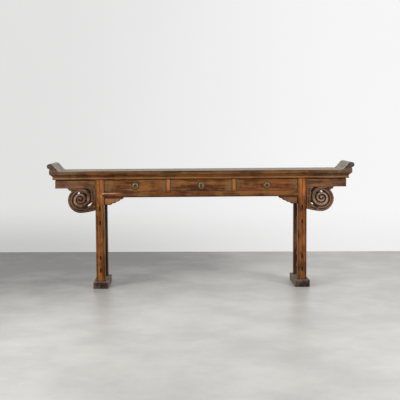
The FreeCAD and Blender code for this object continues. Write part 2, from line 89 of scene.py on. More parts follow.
def length(name, description, default):
    return FloatProperty(name=name, description=description, default=default, min=0, unit="LENGTH")


# Each wood: its label, where it is, and its rubbed and its lacquered tone as they look
WOODS = {
    "top": ("Top", "the top's edges", (130, 85, 43), (60, 34, 10)),
    "tip": ("Ends", "the turned-up ends", (90, 78, 70), (58, 48, 42)),
    "leg": ("Legs", "the legs", (166, 106, 50), (88, 48, 12)),
    "leg_top": ("Leg tops", "the legs' upper ends", (182, 114, 60), (108, 54, 16)),
    "rail": ("Rails", "the rails", (138, 88, 42), (70, 38, 10)),
    "stile": ("Stiles", "the uprights between the drawers", (180, 120, 68), (138, 84, 42)),
    "front": ("Drawer fronts", "the drawer fronts", (142, 90, 44), (66, 34, 8)),
    "apron": ("Aprons", "the aprons", (136, 88, 58), (70, 40, 24)),
    "scroll": ("Scrolls", "the spiral brackets", (118, 78, 46), (62, 34, 14)),
    "bracket": ("Small brackets", "the small brackets", (190, 130, 88), (106, 66, 42)),
    "foot": ("Feet", "the feet", (100, 84, 73), (40, 28, 22)),
    "inside": ("Inside", "the bare wood of the boxes", (190, 150, 104), (128, 92, 58)),
}


class AltarWoodColours(bpy.types.PropertyGroup):
    """Pale and dark tone of the wood of each group of pieces"""

    faded: colour("Faded", "Greyed wood near the table's ends", 112, 94, 78)
    handled: colour("Handled", "Greenish grey where the drawers' ends are gripped", 106, 94, 64)
    # Raw wood where the lacquer is gone, also standing for a painted highlight on the rail's top edge.
    bruised_and_highlight: colour("Bruised", "Raw pinkish wood where the lacquer is gone", 196, 156, 132)
    # Rubbed wood on the carving's crests, also standing for a painted highlight.
    crest: colour("Crests", "Rubbed wood on the carving's crests", 190, 162, 142)


for kind, (label, where, pale, dark) in WOODS.items():
    AltarWoodColours.__annotations__.update({
        kind + "_pale": colour(label + ", pale", "Paler tone of " + where, *pale),
        kind + "_dark": colour(label + ", dark", "Darker tone of " + where, *dark),
    })


class AltarFinish(bpy.types.PropertyGroup):
    """Sizes and tones that the finishes share"""

    ring_spacing: length("Growth rings", "Distance from one growth ring to the next", 0.0065)
    pore_length: length("Pores", "Length of a pore in the grain", 0.014)
    edge_width: length("Worn edge", "How far the rubbed band reaches from an edge", 0.004)
    # Reach of the ambient occlusion that lays both dirt and painted shade.
    grime_and_shade_reach: length("Grime", "How far grime reaches out of a corner", 0.022)
    edge_round: length("Soft edge", "Rounding of the boards' edges", 0.0012)
    wear: FloatProperty(name="Wear", description="How pale the rubbed edges are", default=0.5, min=0, max=1)
    # A dusty film that also stands for a painted sheen on what faces up, and for painted light on the
    # feet's sides.
    dust_and_sheen: colour("Dust", "Film of dust on what faces up", 178, 171, 157)
    # Old dirt that also stands for painted shade in corners, hollows, between the legs and on the right
    # half.
    grime_and_shade: colour("Grime", "Old dirt in the corners", 38, 20, 7)
    end_grain: colour("End grain", "Tenons that show on the legs", 40, 16, 2)
    red_cast: colour("Red cast", "Hue where the lacquer is reddest", 150, 66, 34)
    gold_cast: colour("Gold cast", "Hue where the lacquer is most yellow", 150, 104, 38)
    # Metal rubbed by fingers, also standing for a painted highlight on the upper part of pins and rings.
    brass_rubbed_and_highlit: colour("Brass, rubbed", "Metal where fingers rub it", 196, 172, 140)
    brass_dark: colour("Brass, dark", "Brown skin of the metal", 98, 68, 38)
    brass_green: colour("Brass, green", "Greenish dirt round the fittings", 86, 70, 40)


class AltarCarving(bpy.types.PropertyGroup):
    """Sizes of the carving on the brackets"""

    step: length("Fineness", "Distance between the carving's points", 0.0014)
    groove_width: length("Groove", "Width of the groove between turns", 0.008)
    bead_width: length("Bead", "Width of the rounded bead along each edge", 0.013)
    hollow_depth: length("Hollow", "Depth of the hollow between two beads", 0.0045)
    web_thickness: length("Web", "Thickness left at the bottom of the groove", 0.008)
    pocket_width: length("Pocket", "Width of the deep pocket in the upper corner", 0.018)
    pocket_web: length("Pocket web", "Thickness left at the bottom of that pocket", 0.006)


class AltarStage(bpy.types.PropertyGroup):
    """Floor, wall and light"""

    floor: colour("Floor", "Pale floor", 218, 216, 211)
    wall: colour("Wall", "Pale wall behind the table", 240, 240, 240)
    wall_bright: colour("Wall, lit end", "How the wall looks at its lit right end", 247, 247, 247)
    wall_shade: colour("Wall, shaded end", "How the wall looks low down at its left end", 196, 196, 195)
    wall_distance: length("Wall distance", "From the table's middle to the wall", 1.825)
    lamp_power: FloatProperty(name="Lamp power", description="Power of each soft lamp", default=120,
                              min=0, unit="POWER")


# Shader maths

class Wire:
    """An output socket. Arithmetic on values adds Math nodes; colours go through Shader.mix."""

    def __init__(self, shader, socket):
        self.shader = shader
        self.socket = socket

    def maths(self, operation, *others):
        return self.shader.add("ShaderNodeMath", {"operation": operation}, dict(enumerate((self, *others))))

    def __add__(self, other):
        return self.maths("ADD", other)

    def __sub__(self, other):
        return self.maths("SUBTRACT", other)

    def __rsub__(self, other):
        return self.shader.add("ShaderNodeMath", {"operation": "SUBTRACT"}, {0: other, 1: self})

    def __mul__(self, other):
        return self.maths("MULTIPLY", other)

    def __truediv__(self, other):
        return self.maths("DIVIDE", other)

    def __pow__(self, other):
        return self.maths("POWER", other)

    def __abs__(self):
        return self.maths("ABSOLUTE")

    __radd__ = __add__
    __rmul__ = __mul__

    def band(self, low, high):
        """0 below low, 1 above high and a smooth step between."""
        return self.shader.add("ShaderNodeMapRange", {"interpolation_type": "SMOOTHSTEP"},
                               {"Value": self, "From Min": low, "From Max": high})

    def fall(self, low, high):
        """1 below low, 0 above high and a smooth step between."""
        return 1 - self.band(low, high)

    def near(self, place, inner, outer):
        """1 within inner of a place, 0 further than outer from it."""
        return abs(self - place).fall(inner, outer)


class Shader:
    """The node tree of a material or of the world."""

    MIX_SOCKETS = (6, 7)

    def __init__(self, owner):
        owner.use_nodes = True
        self.tree = owner.node_tree
        self.tree.nodes.clear()

    def add(self, kind, settings=None, sockets=None, output=0):
        """A node of any kind: its settings first, then the values or links of its sockets."""
        node = self.tree.nodes.new(kind)
        for name, value in (settings or {}).items():
            setattr(node, name, value)
        for key, value in (sockets or {}).items():
            socket = node.inputs[key]
            if isinstance(value, Wire):
                self.tree.links.new(value.socket, socket)
            elif socket.type == "RGBA":
                socket.default_value = (*value, 1)
            else:
                socket.default_value = value
        return Wire(self, node.outputs[output] if len(node.outputs) else None)

    def mix(self, factor, first, second, blend="MIX"):
        return self.add("ShaderNodeMix", {"data_type": "RGBA", "blend_type": blend},
                        {0: factor, self.MIX_SOCKETS[0]: first, self.MIX_SOCKETS[1]: second}, output=2)

    def vector(self, operation, *parts, output=0):
        return self.add("ShaderNodeVectorMath", {"operation": operation}, dict(enumerate(parts)), output)

    def parts(self, vector):
        """The x, y and z of a vector."""
        split = self.add("ShaderNodeSeparateXYZ", None, {0: vector}).socket.node
        return [Wire(self, output) for output in split.outputs]

    def place(self):
        """Where a point of the surface lies when the table is at rest, as a vector."""
        return self.add("ShaderNodeTexCoord", output="Object")

    def noise(self, place, scale, detail=2.0, roughness=0.5, output="Fac"):
        return self.add("ShaderNodeTexNoise", None,
                        {"Vector": place, "Scale": scale, "Detail": detail, "Roughness": roughness}, output)

    def bump(self, height, distance):
        return self.add("ShaderNodeBump", None, {"Height": height, "Distance": distance})

    def corners(self, width, reach):
        """Two masks: worn convex edges, and corners where dirt gathers and shade is painted."""
        rounded = self.add("ShaderNodeBevel", {"samples": 4}, {"Radius": width})
        true = self.add("ShaderNodeNewGeometry", output="Normal")
        turned = 1 - self.vector("DOT_PRODUCT", rounded, true, output="Value")
        # Ambient occlusion: darkens where shade falls, laid as dirt and as painted shade.
        open_air = self.add("ShaderNodeAmbientOcclusion", {"samples": 6}, {"Distance": reach}, output="AO")
        grime_and_shade = open_air.fall(0.25, 0.92)
        return turned.band(0.01, 0.16) * (1 - grime_and_shade), grime_and_shade

    def surface(self, sockets):
        principled = self.add("ShaderNodeBsdfPrincipled", None, sockets)
        self.add("ShaderNodeOutputMaterial", None, {"Surface": principled})


def made_once(name, fill):
    """The material of that name, which fill gives its nodes the first time it is asked for."""
    material = bpy.data.materials.get(name)
    if material is None:
        material = bpy.data.materials.new(name)
        fill(material)
    return material


# Wood

class Finish:
    """How one kind of wooden piece is finished, apart from its two tones.

    tone names the kind whose two tones it has, if not its own.
    above is (low, high, kind): over that height the tones turn to those of another kind.
    shaded_inside is (near, far): what lies nearer than that to the table's middle plane gets painted
    shade, most so at the left end, which hardly gets light.
    relief names a carved node: its crests are rubbed pale with a painted highlight and its hollows
    hold dirt and painted shade, or with shaded_edge its crests get painted shade.
    flutes are the places of thin scratched grooves, counted from the table's middle.
    handled is how greenish the wood is beside the uprights, and bruised_and_highlight is (x, z): the
    lacquer is gone, with a painted highlight, along a line at the height z, from the left leg to x.
    faded is (left, right), how much the wood greys towards the table's two ends, and shaded_right
    paints shade on what is right of its middle. cast is how far the wood turns to the red and the golden
    hue.
    """

    roughness = 0.42
    gloss = 0.2
    figure = 1.0
    dust_and_sheen = 0.16
    wear = 1.0
    cast = 0.45
    tone = None
    above = None
    shaded_inside = None
    relief = None
    flutes = ()
    handled = 0
    bruised_and_highlight = None
    faded = None
    shaded_right = 0
    shaded_edge = False

    def __init__(self, slot, **settings):
        self.slot = slot
        for name, value in settings.items():
            setattr(self, name, value)


def middle_and_half(node):
    """Where a node's middle lies along x, and half its width."""
    low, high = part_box(node)
    return (low.x + high.x) / 2, (high.x - low.x) / 2


# Places in metres: outwards or to the right from the table's middle, or up from the floor
LEG_MIDDLE, LEG_HALF = middle_and_half("leg_front_right")
LEG_INNER = LEG_MIDDLE - LEG_HALF
LEG_FACE, LEG_REAR = sorted((abs(corner.y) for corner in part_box("leg_front_left")), reverse=True)
STILE_MIDDLE, STILE_HALF = middle_and_half("stile_right")
RAIL_FOOT, RAIL_TOP = (corner.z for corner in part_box("lower_rail_front"))
SCROLL_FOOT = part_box("scroll_front_right")[0].z
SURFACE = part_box("top_panel")[1].z
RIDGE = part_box("top_rail_front")[0].z + 0.012
TIPS = (SURFACE - 0.004, SURFACE + 0.018)
LEG_TOPS = (0.66, 0.76)
STILE_TOPS = (RAIL_TOP + 0.002, RAIL_TOP + 0.024)
FLUTE_WIDTH = 0.0022
FLUTE_SPACING = 0.024
# Where the raw line on the rail ends and its height: worn wood with a painted highlight.
BRUISE_AND_HIGHLIGHT_END = -0.60
BRUISE_AND_HIGHLIGHT_HEIGHT = RAIL_TOP - 0.013
POINT_END = -LEG_INNER - 0.006

# Where a tone begins and where it is full
LEFT_TO_RIGHT = (-0.1, 0.1)
TOWARDS_END = (0.80, 1.10)
GRIP_BESIDE_STILE = (0.020, 0.075)
GRIP_BESIDE_LEG = (LEG_INNER - 0.0745, LEG_INNER - 0.0145)
SEAM = (0.002, 0.008)
SPIRAL_EYE = (0.052, 0.072)
# The stretch of the top's rim that gets painted shade.
SHADED_RIM = (-0.15, 0.60, 0.75)

FINISHES = {
    "top": Finish("top_wood", roughness=0.40, dust_and_sheen=0.85, above=(*TIPS, "tip"), faded=(1, 1)),
    "leg": Finish("frame_wood", roughness=0.40, above=(*LEG_TOPS, "leg_top"), shaded_right=0.24,
                  shaded_inside=(LEG_REAR, LEG_REAR + 0.003),
                  flutes=(LEG_MIDDLE - FLUTE_SPACING, LEG_MIDDLE, LEG_MIDDLE + FLUTE_SPACING)),
    "rail": Finish("frame_wood", roughness=0.38, bruised_and_highlight=(BRUISE_AND_HIGHLIGHT_END, BRUISE_AND_HIGHLIGHT_HEIGHT)),
    "stile": Finish("frame_wood", roughness=0.40, tone="rail", above=(*STILE_TOPS, "stile")),
    "front": Finish("drawer_front_wood", roughness=0.36, handled=0.42),
    "apron": Finish("carved_wood", roughness=0.46, faded=(1, 0.15)),
    "scroll": Finish("carved_wood", roughness=0.48, figure=0.5, dust_and_sheen=0.28, relief="scroll_front_right"),
    "bracket": Finish("carved_wood", roughness=0.48, figure=0.6, relief="spandrel_front_right",
                      shaded_right=0.60, shaded_edge=True),
    "foot": Finish("foot_wood", roughness=0.6, gloss=0.15, dust_and_sheen=0.45, wear=0.6, cast=0.12),
    "inside": Finish("inside_wood", roughness=0.75, wear=0.4),
}
GRAIN_STRETCH = 0.09
CAST_STRETCH = 0.22
BOARD_SHIFTS = (3.1, 5.3, 7.7)
PITH_SWAY = (0.045, 0.045, 0.045)

# Each noise of the wood: its stretch along the grain, scale, detail and roughness
NOISES = {
    "figure": (GRAIN_STRETCH, 42, 4, 0.62),
    "broad": (GRAIN_STRETCH, 9, 2, 0.5),
    "streak": (GRAIN_STRETCH, 115, 2, 0.5),
    "fibre": (GRAIN_STRETCH / 4, 620, 2, 0.5),
    "patches": (1, 7, 5, 0.6),
    "rubs": (1, 70, 3, 0.5),
    "red": (CAST_STRETCH, 15, 3, 0.5),
    "gold": (CAST_STRETCH, 21, 3, 0.5),
}
# What makes the wood paler: a noise, where its step begins and ends, and its share
PALER = (("figure", 0.38, 0.62, 0.34), ("broad", 0.36, 0.64, 0.20), ("streak", 0.36, 0.64, 0.20),
         ("patches", 0.38, 0.62, 0.42))


class Wood(Shader):
    """Old lacquered wood whose grain runs along one axis; base is its colour as laid on so far."""

    def __init__(self, material, context, kind, grain):
        super().__init__(material)
        finish = FINISHES[kind]
        self.finish = finish
        self.looks = context.scene.altar_finish
        self.tones = context.scene.altar_wood
        self.spot = self.place()
        self.across, from_front, self.height = self.parts(self.spot)
        self.off_centre = abs(self.across)
        self.from_middle = abs(from_front)
        self.add_figure(grain)
        self.worn, self.grime_and_shade = self.corners(self.looks.edge_width, self.looks.grime_and_shade_reach)
        self.base = self.two_tones(finish.tone or kind)
        self.age()
        if finish.handled:
            self.handle(finish.handled)
        if finish.bruised_and_highlight:
            self.bruise_highlight_and_shade(*finish.bruised_and_highlight)
        if finish.relief:
            self.rub_and_shade_carving(*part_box(finish.relief))
        # Painted shade on the faces between the front and back legs, deepest at the left end.
        if finish.shaded_inside:
            shaded = 0.90 - self.across.band(*LEFT_TO_RIGHT) * 0.50
            self.soil_and_shade(self.from_middle.fall(*finish.shaded_inside) * shaded)
        relief = self.late * 0.25 + self.figure * 0.35 + self.fibre * 0.25 - self.pores * 0.5
        if finish.flutes:
            relief = relief - self.flute(finish.flutes) * 3
        rubbed = self.worn * self.rubs.band(0.38, 0.60)
        self.lay(rubbed * self.looks.wear * finish.wear, self.tones.stile_pale)
        # Dirt and painted shade in corners and recesses, from ambient occlusion.
        self.soil_and_shade(self.grime_and_shade * 0.70)
        film = self.dust_and_sheen(kind)
        self.surface({
            "Base Color": self.base,
            "Roughness": (self.patches * 0.16 + finish.roughness - 0.08
                          + film * 0.2 - rubbed * 0.06 + self.grime_and_shade * 0.15),
            "Specular IOR Level": finish.gloss,
            "Normal": self.bump(relief, 0.0006),
        })

    def add_figure(self, grain):
        """Noises drawn out along the grain, and growth rings round a pith that wanders beside it."""
        chance = self.add("ShaderNodeObjectInfo", output="Random")
        shift = self.add("ShaderNodeCombineXYZ", None,
                         {axis: chance * share for axis, share in enumerate(BOARD_SHIFTS)})
        moved = self.vector("ADD", self.spot, shift)
        drawn = {}
        for stretch in (1, GRAIN_STRETCH, GRAIN_STRETCH / 4, CAST_STRETCH):
            factors = [1, 1, 1]
            factors[grain] = stretch
            drawn[stretch] = self.vector("MULTIPLY", moved, factors)
        for name, (stretch, scale, detail, roughness) in NOISES.items():
            setattr(self, name, self.noise(drawn[stretch], scale, detail, roughness))
        along = drawn[GRAIN_STRETCH]
        wander = self.noise(along, 11, detail=3, output="Color")
        swayed = self.vector("MULTIPLY_ADD", wander, PITH_SWAY, along)
        from_pith = self.vector("LENGTH", self.vector("FRACTION", swayed), output="Value")
        ring = (from_pith / self.looks.ring_spacing).maths("FRACT")
        self.late = ring ** 3 * ring.fall(0.93, 1.0)
        per_pore = 0.8 / self.looks.pore_length / GRAIN_STRETCH
        self.pores = self.noise(along, per_pore, detail=1).band(0.60, 0.70)
        tone = self.late * -0.30 * self.finish.figure - self.pores * 0.25
        for name, low, high, share in PALER:
            tone = tone + getattr(self, name).band(low, high) * share
        self.tone = tone.band(0.05, 0.95)

    def two_tones(self, kind):
        """Dark and pale wood of a kind, mixed by the figure."""
        return self.mix(self.tone, getattr(self.tones, kind + "_dark"), getattr(self.tones, kind + "_pale"))

    def lay(self, factor, colour, blend="MIX"):
        """Covers the wood with a colour where the factor says."""
        self.base = self.mix(factor, self.base, colour, blend)

    # Lays the dark colour, as old dirt in some places and as painted shade in others.
    def soil_and_shade(self, factor):
        self.lay(factor, self.looks.grime_and_shade)

    def age(self):
        """Greyed ends, painted shade on the right half, other tones higher up, and reddish and golden
        lacquer.
        """
        finish = self.finish
        if finish.faded:
            left, right = finish.faded
            far_out = (0 - self.across).band(*TOWARDS_END) * left + self.across.band(*TOWARDS_END) * right
            self.lay(far_out * (self.patches.band(0.35, 0.6) * 0.4 + 0.3), self.tones.faded)
        # Painted shade on the right half.
        if finish.shaded_right:
            self.soil_and_shade(self.across.band(*LEFT_TO_RIGHT) * finish.shaded_right)
        if finish.above:
            low, high, kind = finish.above
            self.lay(self.height.band(low, high), self.two_tones(kind))
        self.lay(self.red.band(0.48, 0.64) * finish.cast, self.looks.red_cast, "COLOR")
        self.lay(self.gold.band(0.50, 0.66) * finish.cast, self.looks.gold_cast, "COLOR")

    def handle(self, strength):
        """Greenish wood where a drawer front is gripped at its ends, and dark seams round it."""
        beside = abs(self.off_centre - STILE_MIDDLE)
        gripped = beside.fall(*GRIP_BESIDE_STILE) + self.off_centre.band(*GRIP_BESIDE_LEG)
        self.lay(gripped * self.patches.band(0.30, 0.52) * strength, self.tones.handled)
        seam = ((beside - STILE_HALF).fall(*SEAM)
                + self.off_centre.band(LEG_INNER - 0.009, LEG_INNER - 0.003)
                + self.height.fall(RAIL_TOP + 0.003, RAIL_TOP + 0.008) * 0.8)
        self.soil_and_shade(seam * 0.55)

    def bruise_highlight_and_shade(self, end, line):
        """Painted shade along the rail's foot, and a pale line and point where the lacquer is gone, which
        also stand for a painted highlight.
        """
        # Painted shade along the rail's foot.
        self.soil_and_shade(self.height.fall(RAIL_FOOT + 0.004, RAIL_FOOT + 0.016) * 0.5)
        # Worn raw wood and a painted highlight along the rail's top edge and its point.
        ledge = self.height.near(line, 0.003, 0.006) * self.across.fall(end - 0.1, end)
        point = self.height.near(line, 0.006, 0.009) * self.across.fall(POINT_END, POINT_END + 0.004)
        raw = ledge * self.figure.band(0.30, 0.50) * 0.75 + point * 0.9
        self.lay(raw.maths("MINIMUM", 0.95), self.tones.bruised_and_highlight)

    def rub_and_shade_carving(self, low, high):
        """Painted shade on the edge beads of a carved board, or dirt and painted shade in its hollows and a
        painted highlight on its rubbed crests.
        """
        rise = abs(self.from_middle - abs(low.y + high.y) / 2) / ((high.y - low.y) / 2)
        crest = rise.band(0.84, 0.96)
        # Painted shade on the edge beads of the small brackets.
        if self.finish.shaded_edge:
            self.soil_and_shade(crest * 0.7)
            return
        centre = ((low.x + high.x) / 2, 0, (low.z + high.z) / 2)
        flat = self.vector("MULTIPLY", self.vector("ABSOLUTE", self.spot), (1, 0, 1))
        from_eye = self.vector("LENGTH", self.vector("SUBTRACT", flat, centre), output="Value")
        outer = from_eye.band(*SPIRAL_EYE)
        # Dirt and painted shade in the hollows, less on the outer turns.
        hollow = rise.fall(0.50, 0.88) * (self.grime_and_shade * 0.5 + 0.5)
        self.soil_and_shade(hollow * (0.9 - outer * 0.35))
        # Painted shade deep in the grooves and the pocket.
        self.lay(rise.fall(0.24, 0.36) * 0.9, self.looks.grime_and_shade, "MULTIPLY")
        # Rubbed wood and a painted highlight on the crests.
        self.lay(crest * self.patches.band(0.30, 0.60) * (0.62 - outer * 0.40), self.tones.crest)

    def flute(self, places):
        """Dirt in scratched grooves, and painted shade on a leg's rounded edges, most beside the scroll;
        the mask of the grooves.
        """
        grooves = 0.0
        for place in places:
            grooves = self.off_centre.near(place, FLUTE_WIDTH / 2, FLUTE_WIDTH) + grooves
        self.soil_and_shade(grooves * 0.6)
        # Painted shade on the leg's rounded edges, and a painted shadow where the scroll meets the leg.
        aside = self.off_centre - LEG_MIDDLE
        edge = abs(aside).band(LEG_HALF - 0.012, LEG_HALF - 0.004)
        beside_scroll = aside.band(0.0, 0.01) * self.height.band(SCROLL_FOOT, SCROLL_FOOT + 0.02)
        self.soil_and_shade(edge * (beside_scroll * 0.25 + 0.35))
        return grooves

    def dust_and_sheen(self, kind):
        """Dust and a painted sheen on what faces up and on the top's tips, painted light on the feet's
        sides, and on the top a painted highlight along the bead and painted shade along its rim; the mask
        of the film.
        """
        sideways, _, up = self.parts(self.add("ShaderNodeNewGeometry", output="Normal"))
        uneven = (self.patches * 0.35 + self.figure.band(0.38, 0.62) * 0.35
                  + self.streak.band(0.38, 0.62) * 0.3 + 0.15)
        film = up.band(0.30, 0.75) * self.finish.dust_and_sheen * uneven
        # Painted light on the feet's sides.
        if kind == "foot":
            film = film + abs(sideways).band(0.5, 0.9) * 0.30
        if kind != "top":
            self.lay(film, self.looks.dust_and_sheen)
            return film
        # A pale line along the bead's crown: rubbed wood and a painted highlight.
        self.lay(self.height.near(RIDGE, 0.002, 0.005) * 0.45, self.tones.stile_pale)
        # Painted shade along the top's upper rim, in the middle of its length.
        along = self.across.near(*SHADED_RIM)
        rim = self.height.band(SURFACE - 0.012, SURFACE - 0.006) * along * up.fall(0.5, 0.8)
        self.soil_and_shade(rim * 0.6)
        tips = self.height.band(*TIPS)
        film = film * (self.height.band(SURFACE - 0.006, SURFACE - 0.002) + tips * 0.4)
        self.lay(film, self.looks.dust_and_sheen)
        scuffed = tips * self.figure.fall(0.36, 0.54) * up.band(0.3, 0.7)
        self.lay(scuffed * 0.30, self.tones.tip_dark)
        return film


def wood(context, kind, grain):
    """The material of one kind of piece with its grain along one axis."""
    return made_once(kind + "_wood_" + "xyz"[grain], lambda material: Wood(material, context, kind, grain))


def tenon_wood(context):
    """The end rails' wood: as the rails, and dark end grain where the tenons come through the legs."""
    looks = context.scene.altar_finish
    tones = context.scene.altar_wood

    def fill(material):
        shader = Shader(material)
        spot = shader.place()
        drawn = shader.vector("MULTIPLY", spot, (1, GRAIN_STRETCH, 1))
        figure = shader.noise(drawn, 60, detail=4)
        ends = abs(shader.parts(spot)[Y]).band(LEG_FACE - 0.001, LEG_FACE)
        rings = shader.noise(spot, 260, detail=3)
        grime_and_shade = shader.corners(looks.edge_width, looks.grime_and_shade_reach)[1]
        base = shader.mix(figure.band(0.3, 0.7), tones.rail_dark, tones.rail_pale)
        base = shader.mix(grime_and_shade * 0.75, base, looks.grime_and_shade)
        base = shader.mix(ends * (1 - rings.band(0.4, 0.8) * 0.2), base, looks.end_grain)
        shader.surface({
            "Base Color": base,
            "Roughness": rings * 0.2 + 0.5,
            "Specular IOR Level": 0.1,
            "Normal": shader.bump(figure * 0.3 + rings * ends, 0.0006),
        })

    return made_once("end_rail_wood", fill)


# How rubbed each brass part is in patches, and how strong its painted highlight is, brightest at the top
BRASS_RUBBED_AND_HIGHLIT = {"plate": (0.2, 0.0), "pin": (0.6, 0.2), "ring": (0.35, 0.75)}


def brass(context, part):
    """Dark brass with a brown and green skin, rubbed bright in patches; pins and rings carry a painted
    highlight, brightest at the top.
    """
    looks = context.scene.altar_finish

    def fill(material):
        shader = Shader(material)
        spot = shader.place()
        skin = shader.noise(spot, 130, detail=5, roughness=0.65)
        spots = shader.noise(spot, 45, detail=3)
        worn, grime_and_shade = shader.corners(0.0025, 0.006)
        patchy, top_highlight = BRASS_RUBBED_AND_HIGHLIT[part]
        low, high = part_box("drawer_left_ring")
        upper = shader.parts(spot)[Z].band(low.z, high.z)
        rubbed = (worn * 0.9 + skin.band(0.44, 0.62) * 0.5).maths("MINIMUM", 1.0) * patchy
        # Painted highlight, brightest on the upper part.
        rubbed = rubbed + (upper * 0.90 + 0.10) * top_highlight
        base = shader.mix(spots.band(0.42, 0.62), looks.brass_dark, looks.brass_green)
        base = shader.mix(rubbed, base, looks.brass_rubbed_and_highlit)
        base = shader.mix(grime_and_shade * 0.7, base, looks.grime_and_shade)
        shader.surface({
            "Base Color": base,
            "Metallic": rubbed * 0.5 + 0.1,
            "Roughness": 0.55 - rubbed * 0.2 + skin * 0.12,
            "Specular IOR Level": 0.25,
            "Normal": shader.bump(skin, 0.0003),
        })

    return made_once(part + "_brass", fill)


# Meshes

WELD_DISTANCE = 1e-5
SHARP_ANGLE = 32


def coat(piece, material):
    piece.data.materials.clear()
    piece.data.materials.append(material)


def softened(piece, width):
    """Rounds a board's edges a little, as old ones are."""
    weld = piece.modifiers.new("joined", "WELD")
    weld.merge_threshold = WELD_DISTANCE
    bevel = piece.modifiers.new("soft_edges", "BEVEL")
    bevel.width = width
    bevel.segments = 2
    bevel.limit_method = "ANGLE"
    bevel.angle_limit = math.radians(SHARP_ANGLE)
    normals = piece.modifiers.new("even_shading", "WEIGHTED_NORMAL")
    normals.keep_sharp = False


def new_piece(name, points, faces, material, body, stands_for):
    """A mesh piece that rides on a body and takes the place of one CAD node."""
    mesh = bpy.data.meshes.new(name)
    mesh.from_pydata(points, [], faces)
    mesh.shade_smooth()
    mesh.materials.append(material)
    piece = bpy.data.objects.new(name, mesh)
    bpy.context.scene.collection.objects.link(piece)
    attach(piece, body)
    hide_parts(stands_for)


ARC_STEPS = 14
TURN_STEPS = 16


def traced(corners):
    """A closed outline of (a, b, bulge) corners as complex points.

    The bulge belongs to the stretch after its corner: 0 is straight, a positive one bends to the
    left of the way walked, and 1 is a half circle.
    """
    path = []
    for (a0, b0, bulge), (a1, b1, _) in zip(corners, corners[1:] + corners[:1]):
        start = complex(a0, b0)
        chord = complex(a1, b1) - start
        path.append(start)
        if bulge:
            radius = (1 + bulge ** 2) / (4 * bulge)
            turn = 4 * math.atan(bulge)
            for step in range(1, ARC_STEPS):
                angle = turn * (step / ARC_STEPS - 0.5)
                reached = complex(0.5 + radius * math.sin(angle),
                                  bulge / 2 - radius + radius * math.cos(angle))
                path.append(start + reached * chord)
    return path + path[:1]


def distance_to(path, spots):
    """Distance from each spot to a broken line; both are complex numbers."""
    nearest = np.full(spots.shape, np.inf)
    for start, end in zip(path, path[1:]):
        along = end - start
        share = np.clip(((spots - start) * np.conj(along)).real / abs(along) ** 2, 0, 1)
        nearest = np.minimum(nearest, abs(spots - start - share * along))
    return nearest


def within(path, spots):
    """True where a spot lies inside a closed path."""
    odd = np.zeros(spots.shape, bool)
    for start, end in zip(path, path[1:]):
        if start.imag != end.imag:
            crosses = (start.imag > spots.imag) != (end.imag > spots.imag)
            slope = (end.real - start.real) / (end.imag - start.imag)
            odd ^= crosses & (spots.real < start.real + (spots.imag - start.imag) * slope)
    return odd


def depth_inside(path, spots):
    """Distance inwards from a closed path, negative outside it."""
    return np.where(within(path, spots), 1, -1) * distance_to(path, spots)


def smooth_step(values, low, high):
    share = np.clip((values - low) / (high - low), 0, 1)
    return share ** 2 * (3 - 2 * share)


def at_corner(field, corner):
    """The numbers of a grid at one corner of every cell, counted in steps from its lowest corner."""
    return field[tuple(slice(first, first + size - 1) for first, size in zip(corner, field.shape))]


def skin_of(field, origin, step):
    """Closed mesh round the part of a grid of numbers that is below zero: points and quads.

    Each cell that the surface passes through has one point, at the mean of its edges' crossings.
    """
    cells = tuple(size - 1 for size in field.shape)
    total = np.zeros(cells + (3,))
    count = np.zeros(cells)
    for axis in range(3):
        others = [other for other in range(3) if other != axis]
        for offsets in itertools.product((0, 1), repeat=2):
            corner = [0, 0, 0]
            for other, offset in zip(others, offsets):
                corner[other] = offset
            start = at_corner(field, corner)
            corner[axis] = 1
            end = at_corner(field, corner)
            crossed = (start < 0) != (end < 0)
            total[..., axis] += np.where(crossed, start / np.where(crossed, start - end, 1), 0)
            for other in others:
                total[..., other] += crossed * corner[other]
            count += crossed
    mixed = count > 0
    number = np.full(cells, -1)
    number[mixed] = np.arange(mixed.sum())
    points = (np.argwhere(mixed) + total[mixed] / count[mixed][:, None]) * step + origin
    quads = []
    solid = field < 0
    for axis in range(3):
        b, c = (axis + 1) % 3, (axis + 2) % 3
        near = [slice(1, size - 1) for size in field.shape]
        far = list(near)
        near[axis] = slice(0, cells[axis])
        far[axis] = slice(1, cells[axis] + 1)
        entering = solid[tuple(far)] & ~solid[tuple(near)]
        leaving = solid[tuple(near)] & ~solid[tuple(far)]
        for change, turned in ((entering, True), (leaving, False)):
            ring = []
            for step_b, step_c in ((1, 1), (0, 1), (0, 0), (1, 0)):
                corner = np.argwhere(change)
                corner[:, b] += step_b
                corner[:, c] += step_c
                ring.append(number[tuple(corner.T)])
            quads.append(np.stack(ring[::-1] if turned else ring, axis=1))
    return points, np.concatenate(quads)


def carved(depth, thickness, step, reach, bottom, top, half):
    """Mesh of a board carved alike on both faces.

    depth gives, for complex spots, how far each is inside the nearest edge, and thickness the
    board's half thickness there.
    """
    us, zs, ys = (np.arange(low - 2 * step, high + 3 * step, step)
                  for low, high in ((0, reach), (bottom, top), (-half, half)))
    spots = us[:, None] + 1j * zs[None, :]
    inward = depth(spots)
    surface = thickness(spots)
    field = np.maximum(abs(ys)[None, :, None] - surface[:, None, :], -inward[:, None, :])
    return skin_of(field, np.array([us[0], ys[0], zs[0]]), step)


# As shares of the bead's width: its rounded shoulder, where the hollow falls and where it rises again
SHOULDER_SHARE = 0.45
FALL_SHARES = (0.7, 1.15)
RISE_SHARES = (1.1, 2.6)
RISE = 0.35


def beaded(depth, full, low, bead, hollow):
    """Half thickness of a carved board: a rounded bead along every edge, and a hollow between beads."""
    shoulder = np.sqrt(1 - (1 - np.clip(depth / (bead * SHOULDER_SHARE), 0, 1)) ** 2)
    dip = smooth_step(depth, *(bead * share for share in FALL_SHARES))
    crown = smooth_step(depth, *(bead * share for share in RISE_SHARES)) * RISE
    return low + (full - low) * shoulder - hollow * dip * (1 - crown)


